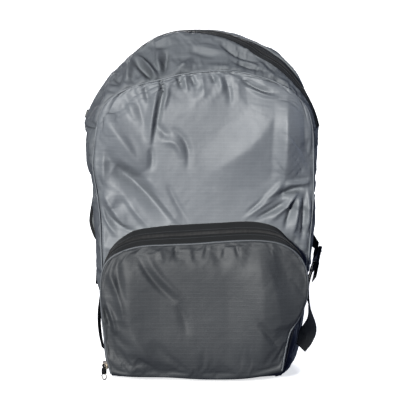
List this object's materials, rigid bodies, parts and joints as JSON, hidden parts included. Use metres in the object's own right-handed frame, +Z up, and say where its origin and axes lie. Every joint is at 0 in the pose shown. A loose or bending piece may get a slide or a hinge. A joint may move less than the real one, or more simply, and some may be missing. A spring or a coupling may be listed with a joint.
{
  "type": "packable backpack",
  "caption": "Light foldable day backpack of ripstop cloth, stuffed and standing, with an arched top zip, a wide zipped front pouch and padded shoulder straps.",
  "frame": {"origin": "on the floor, under the middle of the bottom panel", "axes": "+Z up, the front with its pouch faces -Y, +X is to the right in the front view"},
  "size_m": [0.2906, 0.1726, 0.4134],
  "materials": {
    "cloth": "grey ripstop nylon with a slight sheen",
    "pocket_cloth": "darker grey ripstop nylon",
    "zip_tape": "black woven zip tape with a nylon coil",
    "webbing": "black woven webbing",
    "pad_mesh": "dark spacer mesh over thin foam",
    "plastic": "moulded black plastic",
    "zip_metal": "pale nickel-plated zinc"
  },
  "bodies": {
    "pack": {"front_panel": "cloth", "back_panel": "cloth", "gusset_front": "cloth", "gusset_rear": "cloth", "side_panel_right": "cloth", "side_panel_left": "cloth", "bottom_panel": "cloth", "main_zip": "zip_tape", "main_zip_slider": "plastic", "pocket_panel": "pocket_cloth", "pocket_zip": "zip_tape", "pocket_slider": "zip_metal", "shoulder_pad_right": "pad_mesh", "shoulder_pad_left": "pad_mesh", "upper_webbing_right": "webbing", "upper_webbing_left": "webbing", "buckle_right": "plastic", "buckle_left": "plastic", "lower_webbing_right": "webbing", "lower_webbing_left": "webbing"},
    "pull": {"pocket_pull": "plastic", "pull_ring": "zip_metal"}
  },
  "joints": [
    {"name": "pull_swing", "type": "hinge", "parent": "pack", "child": "pull", "pos_m": [-0.11764, -0.06942, 0.02043], "axis": [-0.766, 0.6428, 0], "range_deg": [0, 150]}
  ]
}
